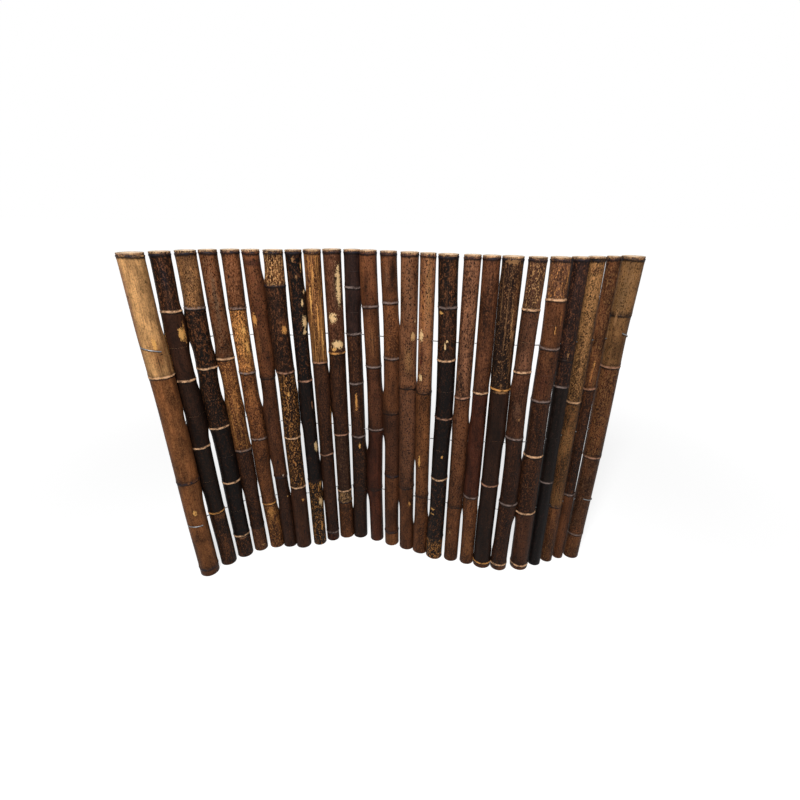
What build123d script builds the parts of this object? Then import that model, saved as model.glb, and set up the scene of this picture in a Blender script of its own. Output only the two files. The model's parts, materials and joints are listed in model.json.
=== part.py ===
from build123d import *
import os
from math import atan2, cos, degrees, pi, radians, sin, tan

# Bamboo border edging: round poles stand side by side in a gentle wave and are
# threaded on three steel wires, so that the panel bends but the poles stay in a row.
# Millimetres and degrees. The poles stand on z = 0, +X runs along the panel,
# the front faces -Y and the origin is under the middle of the panel.

# Poles
height = 610.0          # every pole is cut off level with its neighbours
wall = 4.2              # bamboo wall at the two cut ends
top_node = 4.5          # the poles are cut this far above a node
diaphragm = 3.0         # solid partition inside the pole at a node
node_ridge = 0.8        # how far a node ring stands out of the pole
node_flare = 6.0        # length over which the pole swells below a node ring
node_step = 2.5         # length of the step back above a node ring
trim = 5.0              # rough length past each end, before the poles are cut level

# Wires
wire_width = 2.0
hole_clearance = 0.6    # between a wire and its drilled hole, all round
wrap_clearance = 0.3    # between a folded wire end and the pole that it is folded round
wire_bend = 5.0         # bending radius of the centre line in the gaps between poles
straight_enough = 4.0   # a turn in degrees under which a wire runs on straight
fold_bend = 2.0         # bending radius where a wire leaves an end pole's hole
fold_runs = 4           # straight runs that a folded end is laid in

# Wire heights at the left pole, at the pole where the wire dips, and at the right pole
dip_pole = 12
wire_heights = {
    "wire_upper": (474.0, 464.0, 478.0),
    "wire_middle": (334.0, 268.0, 306.0),
    "wire_lower": (127.0, 134.0, 146.0),
}

# How far a wire end is folded round the front of its end pole, in degrees, and how far
# its tip ends above the hole. The middle wire has no folded ends: it stops in the poles.
folded_ends = {
    "wire_upper": ((102.0, -9.0), (97.0, 12.0)),
    "wire_lower": ((97.0, -2.0), (118.0, 9.0)),
}
blind_depth = 8.0       # how far past the axis of an end pole the middle wire's hole goes

# The poles from left to right. width is the diameter half way up, taper how much wider
# the top is than the foot, lean the degrees to the right in the line of the panel,
# heading the direction to the next pole from +X, gap the space between the two poles
# and nodes the distances of the node rings from the top.
poles = (
    dict(width=36.0, taper=0.5, lean=-0.5, heading=47, gap=6.4, nodes=(188, 390, 593)),
    dict(width=30.0, taper=-0.5, lean=-0.5, heading=44, gap=5.9, nodes=(89, 204, 332, 477)),
    dict(width=31.5, taper=-0.5, lean=-0.6, heading=34, gap=4.2, nodes=(88, 190, 304, 424, 555)),
    dict(width=28.0, taper=0.0, lean=-0.6, heading=20, gap=3.8, nodes=(179, 363, 547)),
    dict(width=28.5, taper=1.0, lean=-0.3, heading=5, gap=5.3, nodes=(93, 208, 342, 495)),
    dict(width=26.5, taper=3.0, lean=-0.2, heading=1, gap=4.7, nodes=(218, 431)),
    dict(width=31.0, taper=1.0, lean=0.3, heading=15, gap=4.7, nodes=(56, 208, 341, 455)),
    dict(width=27.0, taper=-1.5, lean=0.0, heading=28, gap=3.7, nodes=(227, 444)),
    dict(width=28.0, taper=2.5, lean=0.2, heading=21, gap=3.3, nodes=(196, 390, 588)),
    dict(width=30.5, taper=2.0, lean=0.4, heading=0, gap=4.0, nodes=(180, 350, 485, 514)),
    dict(width=28.5, taper=-1.0, lean=0.5, heading=-16, gap=6.7, nodes=(62, 144, 240, 354, 480)),
    dict(width=29.0, taper=0.0, lean=-0.1, heading=-21, gap=8.2, nodes=(93, 203, 332, 473)),
    dict(width=29.0, taper=-2.5, lean=-0.3, heading=-22, gap=6.1, nodes=(83, 182, 290, 432, 575)),
    dict(width=29.5, taper=1.5, lean=0.1, heading=-23, gap=5.0, nodes=(233, 451)),
    dict(width=26.5, taper=-1.5, lean=0.0, heading=-24, gap=7.7, nodes=(237, 463)),
    dict(width=32.0, taper=0.5, lean=0.3, heading=-11, gap=4.2, nodes=(82, 172, 281, 412, 557)),
    dict(width=28.0, taper=-2.5, lean=0.4, heading=-16, gap=3.7, nodes=(238, 471)),
    dict(width=27.5, taper=0.5, lean=0.1, heading=-14, gap=2.8, nodes=(225, 443)),
    dict(width=33.0, taper=-0.5, lean=0.0, heading=-12, gap=3.6, nodes=(214, 409, 598)),
    dict(width=29.5, taper=-3.5, lean=-0.1, heading=6, gap=8.8, nodes=(78, 181, 305, 447, 597)),
    dict(width=33.5, taper=-5.0, lean=-0.5, heading=14, gap=4.8, nodes=(63, 140, 233, 342, 468, 600)),
    dict(width=26.5, taper=0.5, lean=-0.8, heading=20, gap=5.4, nodes=(162, 210, 405)),
    dict(width=25.5, taper=1.5, lean=-0.7, heading=19, gap=7.1, nodes=(243, 469)),
    dict(width=21.5, taper=-1.0, lean=-0.4, heading=12, gap=4.7, nodes=(222, 448)),
    dict(width=33.5, taper=3.5, lean=-0.2, heading=None, gap=0.0, nodes=(92, 181, 363, 548)),
)

last = len(poles) - 1
mid_height = height / 2
wire_radius = wire_width / 2
hole_radius = wire_radius + hole_clearance


def radius_at(pole, z):
    """Outside radius between the node rings."""
    return (pole["width"] + pole["taper"] * (z / height - 0.5)) / 2


def direction(heading, rise=0.0):
    """Unit vector at a heading from +X, climbing by rise degrees."""
    return Vector(cos(radians(heading)) * cos(radians(rise)),
                  sin(radians(heading)) * cos(radians(rise)), sin(radians(rise)))


def panel_heading(index):
    """Direction of the panel at a pole: between the headings on its two sides."""
    before = poles[max(index - 1, 0)]["heading"]
    after = poles[min(index, last - 1)]["heading"]
    return (before + after) / 2


def axis_direction(index):
    """The pole's own axis, which leans a little to its left or right."""
    return direction(panel_heading(index), 90 - poles[index]["lean"])


# Half way up, the poles are chained by their radii and the gaps between them
chain = [Vector(0, 0, mid_height)]
for index in range(last):
    pole, following = poles[index], poles[index + 1]
    reach = radius_at(pole, mid_height) + pole["gap"] + radius_at(following, mid_height)
    chain.append(chain[-1] + direction(pole["heading"]) * reach)


def reach_of(index, z):
    """Outermost x and y that a pole and what is on it take, as low and high corners."""
    point = chain[index] + axis_direction(index) * (z - mid_height)
    on_it = node_ridge if 0 < index < last else wrap_clearance + wire_width
    swell = radius_at(poles[index], z) + on_it
    return (point.X - swell, point.Y - swell), (point.X + swell, point.Y + swell)


corners = [corner for index in range(last + 1) for z in (0, height) for corner in reach_of(index, z)]
middle = Vector((min(x for x, _ in corners) + max(x for x, _ in corners)) / 2,
                (min(y for _, y in corners) + max(y for _, y in corners)) / 2)
chain = [point - middle for point in chain]


def axis_point(index, z):
    """Where a pole's axis passes through the height z."""
    along = axis_direction(index)
    return chain[index] + along * ((z - mid_height) / along.Z)


def wire_height(name, index):
    """The holes of a wire drop from the left pole to the dip, and rise again."""
    left, dip, right = wire_heights[name]
    turning = dip_pole - 1
    if index <= turning:
        return left + (dip - left) * index / turning
    return dip + (right - dip) * (index - turning) / (last - turning)


def gap_point(name, index):
    """Middle of the gap between a pole and the next, at the height of a wire."""
    start = axis_point(index, wire_height(name, index))
    end = axis_point(index + 1, wire_height(name, index + 1))
    span = (end - start).length
    near = radius_at(poles[index], start.Z)
    far = radius_at(poles[index + 1], end.Z)
    return start + (end - start) * ((near + (span - far)) / 2 / span)


def wire_route(name):
    """The points where a wire turns, each with the number of poles before it.

    The wire starts and ends on the axes of the end poles and turns in the gaps only.
    """
    axes = [axis_point(index, wire_height(name, index)) for index in (0, last)]
    gaps = [gap_point(name, index) for index in range(last)]
    kept = [(0, axes[0])]
    for before, (point, after) in enumerate(zip(gaps, gaps[1:] + axes[1:]), start=1):
        if (point - kept[-1][1]).get_angle(after - point) > straight_enough:
            kept.append((before, point))
    return kept + [(last + 1, axes[1])]


routes = {name: wire_route(name) for name in wire_heights}


def run_through(name, index):
    """Straight run of a wire through a pole: its middle there and its direction."""
    near = [point for before, point in routes[name] if before <= index][-1]
    far = [point for before, point in routes[name] if before > index][0]
    along = (far - near).normalized()
    axis = axis_point(index, wire_height(name, index))
    return near + along * (axis - near).dot(along), along


def drilling(name, index):
    """Where a wire's hole starts, its direction and its depth."""
    centre, along = run_through(name, index)
    clear = radius_at(poles[index], centre.Z) + 2 * node_ridge
    if name in folded_ends or 0 < index < last:
        return centre - along * clear, along, 2 * clear
    outward = along if index == last else -along
    return centre - outward * clear, outward, clear + blind_depth + hole_clearance


def ring_heights(pole):
    """The pole's node rings from its foot up; what is cut off below the foot has none."""
    drops = [drop for drop in (*pole["nodes"], top_node) if drop + node_flare < height]
    return [height - drop for drop in sorted(drops, reverse=True)]


def outline_points(pole):
    """Outside of the pole from its foot to its top: even lengths with a ring at each node."""
    rings = ring_heights(pole)
    ends = [0, *rings, height]
    lengths = [radius_at(pole, (low + high) / 2) for low, high in zip(ends, ends[1:])]
    points = [(lengths[0], -trim)]
    for ring, below, above in zip(rings, lengths, lengths[1:]):
        points += [
            (below, ring - node_flare),
            ((below + above) / 2 + node_ridge, ring),
            (above, ring + node_step),
        ]
    points.append((lengths[-1], height + trim))
    return points


def make_pole(index, label):
    """One pole: turned outside, open first cell at each cut end, a hole for each wire."""
    pole = poles[index]
    foot, up = axis_point(index, 0), axis_direction(index)
    # Turned from a profile at the back, where no wire hole meets the seam
    back = direction(panel_heading(index) + 90)
    section = Plane(origin=foot, x_dir=back, z_dir=back.cross(up))
    lowest_node = ring_heights(pole)[0]
    foot_bore = radius_at(pole, 0) - wall
    top_bore = radius_at(pole, height) - wall
    cup_floor = height - top_node + diaphragm / 2
    with BuildPart() as body:
        with BuildSketch(section):
            with BuildLine():
                outer = outline_points(pole)
                Polyline(*outer, (0, height + trim), (0, -trim), close=True)
            make_face()
        revolve(axis=Axis(foot, up))
        with BuildSketch(section):
            with Locations((foot_bore / 2, (lowest_node - diaphragm / 2 - trim) / 2)):
                Rectangle(foot_bore, lowest_node - diaphragm / 2 + trim)
            with Locations((top_bore / 2, (cup_floor + height + trim) / 2)):
                Rectangle(top_bore, height + trim - cup_floor)
        revolve(axis=Axis(foot, up), mode=Mode.SUBTRACT)
        split(bisect_by=Plane.XY, keep=Keep.TOP)
        split(bisect_by=Plane.XY.offset(height), keep=Keep.BOTTOM)
        for name in wire_heights:
            start, along, depth = drilling(name, index)
            slant = along.cross(direction(0, 45))
            with Locations(Plane(origin=start, x_dir=slant, z_dir=-along)):
                Hole(hole_radius, depth=depth)
    body.part.label = label
    return body


def folded_end(name, index):
    """Corners of a wire end, from its hole round the front of the end pole to the tip."""
    turn, rise = folded_ends[name][0 if index == 0 else 1]
    axis, along = run_through(name, index)
    outward = along if index == last else -along
    lay = radius_at(poles[index], axis.Z) + wrap_clearance + wire_radius
    hole = axis + outward * lay
    start = degrees(atan2(outward.Y, outward.X))
    sense = 1 if index == 0 else -1
    # The runs between the corners just touch the circle that the wire is laid along
    step = turn / fold_runs
    points = [hole]
    for count in range(fold_runs):
        swing = direction(start + sense * step * (count + 0.5)) * (lay / cos(radians(step / 2)))
        points.append(Vector(axis.X, axis.Y, hole.Z + rise * (count + 0.5) / fold_runs) + swing)
    tip = direction(start + sense * turn) * lay
    points.append(Vector(axis.X, axis.Y, hole.Z + rise) + tip)
    return points


def bend_radius(before, corner, after, widest):
    """Bend of a corner, as large as its two runs allow up to the widest."""
    turn = (corner - before).get_angle(after - corner)
    shorter = min((corner - before).length, (after - corner).length)
    return min(widest, 0.45 * shorter / tan(radians(turn / 2)))


def make_wire(name):
    """One wire: straight through the poles, bent in the gaps, its ends folded back."""
    points = [point for _, point in routes[name][1:-1]]
    limits = [wire_bend] * len(points)
    if name in folded_ends:
        left, right = folded_end(name, 0), folded_end(name, last)
        points = left[::-1] + points + right
        limits = [height] * fold_runs + [fold_bend] + limits + [fold_bend] + [height] * fold_runs
    else:
        for place, index in ((0, 0), (len(points) + 1, last)):
            start, outward, depth = drilling(name, index)
            points.insert(place, start + outward * (depth - hole_clearance))
    radii = [bend_radius(*each) for each in zip(points, points[1:], points[2:], limits)]
    with BuildPart() as body:
        with BuildLine() as path:
            FilletPolyline(*points, radius=radii)
        route = path.wires()[0]
        with BuildSketch(Plane(origin=route @ 0, z_dir=route % 0)):
            Circle(wire_radius)
        sweep(path=route)
    body.part.label = name
    section = pi * wire_radius ** 2
    print(f"{name}: length {route.length:.1f}, volume over section {body.part.volume / section:.1f}")
    return body


os.makedirs("parts", exist_ok=True)
for index in range(last + 1):
    label = f"pole_{index + 1:02d}"
    pole_body = make_pole(index, label)
    export_step(pole_body.part, f"parts/{label}.step")
for name in wire_heights:
    wire = make_wire(name)
    export_step(wire.part, f"parts/{name}.step")
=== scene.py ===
import json
import math

import bpy
import numpy as np
from mathutils import Matrix, Vector

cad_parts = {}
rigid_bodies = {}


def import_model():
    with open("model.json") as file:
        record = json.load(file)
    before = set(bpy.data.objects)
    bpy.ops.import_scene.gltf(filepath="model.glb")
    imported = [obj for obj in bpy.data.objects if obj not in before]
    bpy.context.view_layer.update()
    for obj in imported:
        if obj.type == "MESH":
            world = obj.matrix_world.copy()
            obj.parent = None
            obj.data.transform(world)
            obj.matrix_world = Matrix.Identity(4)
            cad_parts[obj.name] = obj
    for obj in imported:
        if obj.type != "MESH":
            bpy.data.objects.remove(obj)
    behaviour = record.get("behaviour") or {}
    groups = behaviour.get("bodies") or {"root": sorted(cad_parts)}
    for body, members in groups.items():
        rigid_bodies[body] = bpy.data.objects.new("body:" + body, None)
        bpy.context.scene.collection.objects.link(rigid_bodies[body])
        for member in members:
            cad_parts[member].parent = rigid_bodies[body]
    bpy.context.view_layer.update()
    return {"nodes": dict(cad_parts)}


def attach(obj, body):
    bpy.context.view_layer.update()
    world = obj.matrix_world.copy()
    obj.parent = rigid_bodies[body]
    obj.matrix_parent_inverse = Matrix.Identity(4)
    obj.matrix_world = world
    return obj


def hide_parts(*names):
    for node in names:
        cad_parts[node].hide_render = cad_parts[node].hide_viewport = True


# Bamboo border edging: round poles side by side in a wave, threaded on three steel wires.
# Metres; the sizes written in millimetres are turned into metres where they are used.

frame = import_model()

mm = 0.001
panel = {
    "height": 610.0,        # mm, every pole is cut off level
    "topNode": 4.5,         # mm from the cut top to the first node ring
    "wall": 4.2,            # mm, bamboo wall at the cut ends
    "diaphragm": 3.0,       # mm, partition inside the pole at a node
    "seed": 41,             # start of the random draws
}
camera = {
    "place": (0.0332, -0.7434, 0.6662),
    "pitch": 25.57,         # degrees below level
    "roll": 0.85,           # degrees
    "lens": 19.86,          # mm on a 36 mm sensor
    "shift": (-0.0153, 0.0309),
}
rng = np.random.default_rng(panel["seed"])


def linear(red, green, blue):
    # screen colour of 0 to 255 turned into the renderer's own scale
    values = np.array((red, green, blue)) / 255
    return np.where(values <= 0.04045, values / 12.92, ((values + 0.055) / 1.055) ** 2.4)


# Named colours of the bamboo, 0 to 255, before the skin material's own contrast and gain
tones = {
    "straw": (176, 142, 96), "tan": (150, 113, 72), "sand": (137, 103, 68), "olive": (120, 92, 58),
    "sienna": (128, 87, 50), "amber": (146, 98, 52), "umber": (104, 69, 42), "brown": (88, 58, 39),
    "russet": (82, 47, 31), "cocoa": (62, 41, 29), "coffee": (48, 33, 25), "plum": (52, 38, 35),
    "soot": (33, 26, 22), "ink": (22, 19, 20), "rose": (130, 93, 66), "mauve": (106, 76, 57),
    "ash": (100, 80, 62), "cream": (206, 176, 130), "ochre": (184, 134, 70), "bone": (190, 172, 152),
    "grey": (118, 104, 98), "slate": (44, 40, 46), "pink": (148, 112, 90), "blood": (66, 22, 14),
    "gold": (198, 152, 84), "buff": (188, 152, 118),
}
ringTones = {
    "pale": "buff", "grey": "grey", "rose": "pink", "ochre": "ochre", "dark": "slate", "faint": "coffee",
}

# The poles from left to right. nodes: the node rings in mm from the top. rings: their looks.
# cells: the stretches between the rings from the top down, each with its main colour, the
# colour of its mottling, how much it is mottled and how much it is streaked, from 0 to 1.
# bends: mm to the camera's right at the bendHeights. marks, and the soft patches after them:
# spots and soft patches, each with its angle round the pole from the camera's side in degrees,
# its mm from the top, its width and length in mm and its colour. The soft patches are stains,
# but for the pink one down the first pole's left side: a painted highlight, the sheen of that edge.
# stubs: low bumps, with their height in mm at the end.
# touch: the stretches in mm up the pole where it and the next pole to the right swell until they meet,
# a stand-in for crooked poles that touch.
poleLooks = (
    dict(
        nodes=(188, 390, 593), rings=("pale", "dark", "dark"),
        cells=(("straw", "tan", 0.15, 0.3), ("sienna", "tan", 0.15, 0.3), ("sienna", "olive", 0.2, 0.2),
            ("umber", "brown", 0.3, 0.2)),
        bends=(0, -1, 1, 0, -1, 0),
        marks=((40, 40, 4, 4, "ink"), (49, 76, 4, 4, "ink"), (-63, 61, 3, 7, "ink"),
            (-60, 40, 8, 2, "brown"), (-52, 84, 8, 2, "brown"), (9, 133, 7, 20, "gold"),
            (8, 160, 2, 26, "coffee"), (26, 150, 7, 3, "coffee"), (-4, 454, 7, 15, "gold"),
            (0, 456, 3, 5, "umber")),
        # the pink patch down the left side is a painted highlight, the sheen on that edge; the rest are
        # stains
        smearsAndSheen=((-68, 70, 14, 190, "pink"), (55, 200, 10, 330, "umber"), (-4, 454, 18, 34, "umber"),
            (10, 150, 26, 60, "sienna"), (0, 600, 60, 22, "umber")),
        touch=((190, 320), (360, 480)),
    ),
    dict(
        nodes=(89, 204, 332, 477), rings=("pale", "pale", "pale", "ochre"),
        cells=(("coffee", "umber", 0.4, 0.4), ("cocoa", "coffee", 0.3, 0.2),
            ("coffee", "cocoa", 0.3, 0.3), ("soot", "cocoa", 0.3, 0.3), ("coffee", "umber", 0.4, 0.5)),
        bends=(1, -3, -1.5, -2, -1.5, 1),
        marks=((37, 125, 12, 24, "gold"), (-62, 160, 3, 90, "ochre"), (55, 120, 3, 40, "ochre")),
        smearsAndSheen=((-2, 37, 12, 50, "slate"), (30, 26, 5, 20, "umber"), (10, 60, 4, 26, "rose"),
            (30, 486, 30, 18, "sienna"), (10, 560, 20, 60, "umber")),
        touch=((310, 380), (470, 510)),
    ),
    dict(
        nodes=(88, 190, 304, 424, 555), rings=("grey", "pale", "pale", "pale", "pale"),
        cells=(("tan", "cocoa", 0.6, 0.3), ("soot", "umber", 0.5, 0.3), ("soot", "umber", 0.4, 0.2),
            ("ink", "cocoa", 0.4, 0.2), ("ink", "cocoa", 0.4, 0.3), ("coffee", "umber", 0.5, 0.2)),
        bends=(2, -1, -2.5, 0, -0.5, 0),
        marks=((-31, 600, 5, 5, "russet"), (10, 560, 16, 4, "rose")),
        smearsAndSheen=((26, 120, 12, 26, "umber"), (0, 40, 22, 60, "tan"), (30, 350, 12, 30, "coffee")),
        stubs=((63, 297, 9, 14, 2.6),),
        touch=((160, 350), (420, 440)),
    ),
    dict(
        nodes=(179, 363, 547), rings=("pale", "grey", "faint"),
        cells=(("umber", "ash", 0.4, 0.3), ("umber", "ochre", 0.3, 0.5), ("cocoa", "umber", 0.3, 0.2),
            ("brown", "sand", 0.3, 0.3)),
        bends=(1, -1, -0.5, 0, -0.5, 0),
        marks=((20, 595, 9, 6, "tan"),),
        smearsAndSheen=((0, 80, 10, 130, "ash"), (10, 254, 14, 90, "amber"), (-60, 80, 8, 160, "russet")),
        touch=((170, 250), (325, 335)),
    ),
    dict(
        nodes=(93, 208, 342, 495), rings=("grey", "grey", "grey", "ochre"),
        cells=(("umber", "rose", 0.3, 0.2), ("sienna", "ochre", 0.5, 0.4), ("umber", "amber", 0.4, 0.3),
            ("umber", "sienna", 0.3, 0.3), ("umber", "ochre", 0.3, 0.4)),
        bends=(1, -2, -1.5, -0.5, 0, 3),
        marks=((-31, 41, 4, 6, "ink"), (20, 130, 9, 12, "gold"), (30, 160, 7, 26, "gold"),
            (-14, 406, 24, 2, "coffee")),
        smearsAndSheen=((5, 140, 22, 90, "ochre"), (0, 250, 20, 60, "amber"), (0, 515, 16, 34, "ochre")),
        touch=((0, 90), (220, 330)),
    ),
    dict(
        nodes=(218, 431), rings=("faint", "dark"),
        cells=(("umber", "russet", 0.4, 0.2), ("brown", "umber", 0.3, 0.2), ("cocoa", "brown", 0.3, 0.2)),
        bends=(0, 0, 0.5, -1, 0, 0),
        marks=((-38, 112, 8, 22, "ochre"), (-8, 394, 4, 9, "ink"), (31, 478, 4, 4, "gold"),
            (20, 426, 4, 4, "bone")),
        smearsAndSheen=((-30, 150, 10, 60, "sienna"), (0, 20, 40, 14, "plum")),
        touch=((0, 130), (410, 560)),
    ),
    dict(
        nodes=(56, 208, 341, 455), rings=("dark", "rose", "pale", "pale"),
        cells=(("umber", "straw", 0.45, 0.4), ("coffee", "umber", 0.4, 0.3),
            ("coffee", "ochre", 0.35, 0.4), ("coffee", "ochre", 0.4, 0.3), ("brown", "coffee", 0.5, 0.2)),
        bends=(0.5, -1.5, 1, -1, 0, 0),
        marks=((25, 129, 12, 14, "ochre"), (0, 250, 3, 16, "gold"), (-10, 275, 3, 24, "ochre"),
            (25, 485, 6, 8, "ochre")),
        smearsAndSheen=((10, 30, 20, 50, "sienna"), (20, 120, 24, 40, "umber")),
        touch=((300, 360),),
    ),
    dict(
        nodes=(227, 444), rings=("rose", "faint"),
        cells=(("ink", "umber", 0.3, 0.2), ("ink", "cocoa", 0.4, 0.3), ("ink", "ochre", 0.4, 0.2)),
        bends=(0.5, 0, 0, 0, 0, -0.5),
        marks=((-10, 15, 5, 9, "sand"), (46, 26, 4, 16, "gold"), (6, 42, 4, 8, "sand"),
            (54, 67, 5, 7, "cream"), (33, 85, 5, 14, "cream"), (42, 118, 11, 22, "cream"),
            (36, 135, 8, 10, "cream"), (38, 275, 4, 20, "rose"), (40, 364, 9, 24, "cream"),
            (46, 454, 6, 12, "gold"), (38, 498, 9, 24, "cream"), (30, 560, 5, 30, "ochre")),
        smearsAndSheen=((-50, 60, 8, 90, "umber"),),
        touch=((110, 130), (160, 200), (490, 540)),
    ),
    dict(
        nodes=(196, 390, 588), rings=("rose", "rose", "grey"),
        cells=(("brown", "ochre", 0.2, 0.7), ("cocoa", "umber", 0.3, 0.4), ("cocoa", "brown", 0.3, 0.4),
            ("russet", "umber", 0.3, 0.2)),
        marks=((-32, 81, 3, 60, "gold"), (7, 116, 3, 80, "ochre"), (33, 152, 3, 50, "gold"),
            (64, 311, 3, 60, "ochre"), (-5, 40, 3, 30, "ochre")),
        smearsAndSheen=((20, 100, 18, 120, "sienna"),),
        touch=((310, 390),),
    ),
    dict(
        nodes=(180, 350, 485, 514), rings=("ochre", "rose", "pale", "dark"),
        cells=(("brown", "mauve", 0.3, 0.3), ("cocoa", "umber", 0.3, 0.4), ("cocoa", "ash", 0.3, 0.3),
            ("ash", "straw", 0.5, 0.1), ("umber", "sienna", 0.3, 0.3)),
        marks=((32, 59, 9, 74, "cream"), (-19, 114, 14, 19, "cream"), (10, 163, 22, 17, "cream"),
            (-20, 172, 10, 8, "gold"), (12, 505, 6, 4, "coffee")),
        smearsAndSheen=((0, 530, 40, 24, "soot"), (20, 60, 16, 90, "ash")),
        touch=((0, 70),),
    ),
    dict(
        nodes=(62, 144, 240, 354, 480), rings=("grey", "grey", "grey", "grey", "faint"),
        cells=(("plum", "cocoa", 0.2, 0.2), ("plum", "cocoa", 0.2, 0.2), ("cocoa", "umber", 0.3, 0.3),
            ("cocoa", "umber", 0.3, 0.4), ("coffee", "umber", 0.3, 0.2), ("coffee", "brown", 0.3, 0.2)),
        bends=(0.5, -1, 0.5, 1.5, 0.5, -0.5),
        marks=((-7, 276, 5, 40, "ochre"), (5, 373, 4, 16, "gold")),
        smearsAndSheen=((-7, 290, 10, 60, "umber"),),
        touch=((120, 220), (530, 590)),
    ),
    dict(
        nodes=(93, 203, 332, 473), rings=("grey", "grey", "grey", "faint"),
        cells=(("umber", "russet", 0.3, 0.3), ("umber", "cocoa", 0.3, 0.5),
            ("brown", "russet", 0.3, 0.2), ("russet", "cocoa", 0.3, 0.2), ("russet", "umber", 0.2, 0.2)),
        bends=(-2, 0, 3, 2, -1, 0),
        marks=((-10, 150, 2, 70, "coffee"), (12, 160, 2, 60, "coffee")),
        smearsAndSheen=((0, 150, 14, 70, "sienna"),),
        touch=((270, 350),),
    ),
    dict(
        nodes=(83, 182, 290, 432, 575), rings=("grey", "grey", "faint", "dark", "dark"),
        cells=(("umber", "soot", 0.3, 0.3), ("umber", "sienna", 0.3, 0.3), ("umber", "cocoa", 0.3, 0.3),
            ("brown", "cocoa", 0.4, 0.2), ("umber", "brown", 0.3, 0.2), ("sienna", "umber", 0.3, 0.2)),
        bends=(-0.5, 3, 2, 2, -1, -1.5),
        smearsAndSheen=((24, 37, 16, 60, "ink"), (-20, 40, 8, 40, "rose"), (0, 594, 60, 24, "sienna")),
        touch=((120, 480),),
    ),
    dict(
        nodes=(233, 451), rings=("faint", "faint"),
        cells=(("rose", "umber", 0.4, 0.3), ("mauve", "umber", 0.4, 0.3), ("umber", "brown", 0.3, 0.3)),
        bends=(0.5, 0.5, 0, 0, 0, 0),
        marks=((31, 136, 9, 17, "straw"), (44, 110, 3, 6, "cream"), (24, 490, 6, 16, "ochre")),
        smearsAndSheen=((0, 60, 20, 120, "rose"), (0, 180, 20, 60, "tan")),
        touch=((0, 60), (230, 380)),
    ),
    dict(
        nodes=(237, 463), rings=("faint", "faint"),
        cells=(("rose", "sienna", 0.4, 0.3), ("sienna", "umber", 0.4, 0.4),
            ("umber", "sienna", 0.3, 0.3)),
        bends=(0.5, 0, 0, 0, 0.5, -1),
        marks=((-36, 50, 4, 5, "blood"), (-35, 60, 4, 6, "blood"), (-32, 82, 4, 5, "blood"),
            (-44, 97, 4, 6, "blood"), (-43, 104, 4, 5, "blood"), (-39, 133, 9, 20, "cream"),
            (-26, 165, 4, 10, "russet"), (-34, 180, 4, 14, "blood"), (-38, 209, 7, 14, "cream"),
            (-30, 382, 5, 30, "gold")),
        smearsAndSheen=((-30, 90, 8, 120, "amber"), (10, 60, 14, 160, "tan"), (-30, 165, 12, 60, "russet")),
        touch=((0, 90),),
    ),
    dict(
        nodes=(82, 172, 281, 412, 557), rings=("grey", "pale", "rose", "pale", "faint"),
        cells=(("soot", "umber", 0.4, 0.4), ("coffee", "umber", 0.4, 0.3), ("ink", "cocoa", 0.4, 0.3),
            ("ink", "cocoa", 0.4, 0.2), ("ink", "umber", 0.35, 0.2), ("soot", "ochre", 0.5, 0.1)),
        bends=(-3, 1, 3, 0, 0, -1.5),
        marks=((-11, 146, 4, 16, "cream"), (2, 136, 4, 5, "cream"), (9, 359, 4, 7, "gold"),
            (-42, 482, 12, 6, "gold"), (-40, 494, 14, 4, "gold"), (-42, 90, 9, 6, "gold")),
        smearsAndSheen=((30, 30, 12, 60, "umber"), (0, 120, 16, 50, "cocoa")),
        touch=((310, 330),),
    ),
    dict(
        nodes=(238, 471), rings=("rose", "faint"),
        cells=(("mauve", "rose", 0.4, 0.3), ("umber", "mauve", 0.4, 0.3), ("umber", "sienna", 0.3, 0.2)),
        marks=((-22, 536, 5, 8, "sand"),),
        smearsAndSheen=((-50, 100, 8, 200, "russet"), (-22, 536, 12, 20, "sienna")),
        touch=((130, 320),),
    ),
    dict(
        nodes=(225, 443), rings=("pale", "grey"),
        cells=(("brown", "umber", 0.3, 0.4), ("russet", "brown", 0.2, 0.3),
            ("umber", "sienna", 0.3, 0.2)),
        bends=(0, 0.5, 0, 0.5, 0, 0.5),
        smearsAndSheen=((0, 40, 20, 40, "brown"), (0, 560, 24, 90, "sienna")),
        touch=((0, 130), (420, 570)),
    ),
    dict(
        nodes=(214, 409, 598), rings=("ochre", "rose", "ochre"),
        cells=(("coffee", "sand", 0.25, 0.5), ("cocoa", "soot", 0.4, 0.3),
            ("coffee", "cocoa", 0.3, 0.3), ("umber", "coffee", 0.3, 0.2)),
        marks=((0, 7, 26, 7, "sand"), (30, 100, 3, 60, "tan"), (10, 130, 2, 40, "sand"),
            (45, 120, 3, 30, "sand"), (10, 218, 26, 5, "sand")),
        smearsAndSheen=((40, 90, 10, 180, "umber"), (-50, 120, 12, 220, "ink")),
        touch=((0, 40), (300, 400)),
    ),
    dict(
        nodes=(78, 181, 305, 447, 597), rings=("pale", "pale", "grey", "grey", "pale"),
        cells=(("mauve", "straw", 0.25, 0.3), ("mauve", "brown", 0.4, 0.2),
            ("brown", "mauve", 0.3, 0.3), ("cocoa", "brown", 0.3, 0.3), ("cocoa", "umber", 0.3, 0.3),
            ("umber", "coffee", 0.3, 0.2)),
        bends=(2.5, 0, -1, 2, 1, 0),
        marks=((18, 266, 6, 7, "sand"), (-20, 20, 2, 20, "tan"), (20, 26, 2, 26, "tan"),
            (60, 60, 2, 90, "amber")),
        smearsAndSheen=((0, 250, 20, 40, "mauve"),),
        touch=((130, 250),),
    ),
    dict(
        nodes=(63, 140, 233, 342, 468, 600), rings=("pale", "grey", "grey", "pale", "pale", "pale"),
        cells=(("mauve", "ochre", 0.25, 0.3), ("umber", "brown", 0.3, 0.3),
            ("brown", "umber", 0.3, 0.4), ("cocoa", "umber", 0.3, 0.4), ("cocoa", "umber", 0.4, 0.3),
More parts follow.
